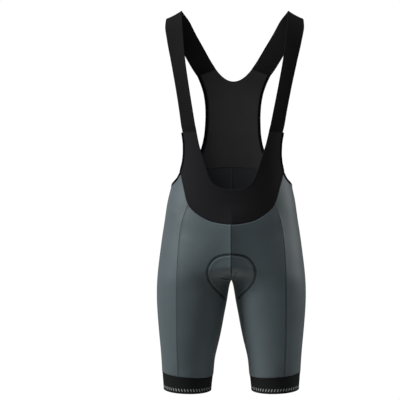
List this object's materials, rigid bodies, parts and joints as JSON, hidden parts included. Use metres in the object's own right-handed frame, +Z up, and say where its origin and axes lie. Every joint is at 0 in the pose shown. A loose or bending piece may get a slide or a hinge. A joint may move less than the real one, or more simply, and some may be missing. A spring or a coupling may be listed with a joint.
{
  "type": "cycling bib shorts",
  "caption": "Grey and black cycling bib shorts with a scooped bib front, shoulder straps and a green seat pad, filled out as when worn.",
  "frame": {"origin": "where the garment hangs: midway between the crests of its two shoulder straps", "axes": "+Z up, the front faces -Y, the wearer's left is at +X"},
  "size_m": [0.3482, 0.237, 0.8898],
  "materials": {
    "lycra_grey": "petrol grey stretch lycra with a soft satin sheen",
    "bib_black": "matte black stretch knit",
    "band_black": "black elastic gripper band",
    "binding_black": "black elastic edge binding",
    "pad_green": "green moulded foam faced with soft knit"
  },
  "bodies": {
    "root": {"front_panel_left": "lycra_grey", "front_panel_right": "lycra_grey", "back_panel_left": "lycra_grey", "back_panel_right": "lycra_grey", "leg_band_left": "band_black", "leg_band_right": "band_black", "bib_front": "bib_black", "bib_back": "bib_black", "strap_left": "bib_black", "strap_right": "bib_black", "side_binding_left": "binding_black", "side_binding_right": "binding_black", "seat_pad": "pad_green"}
  },
  "joints": []
}
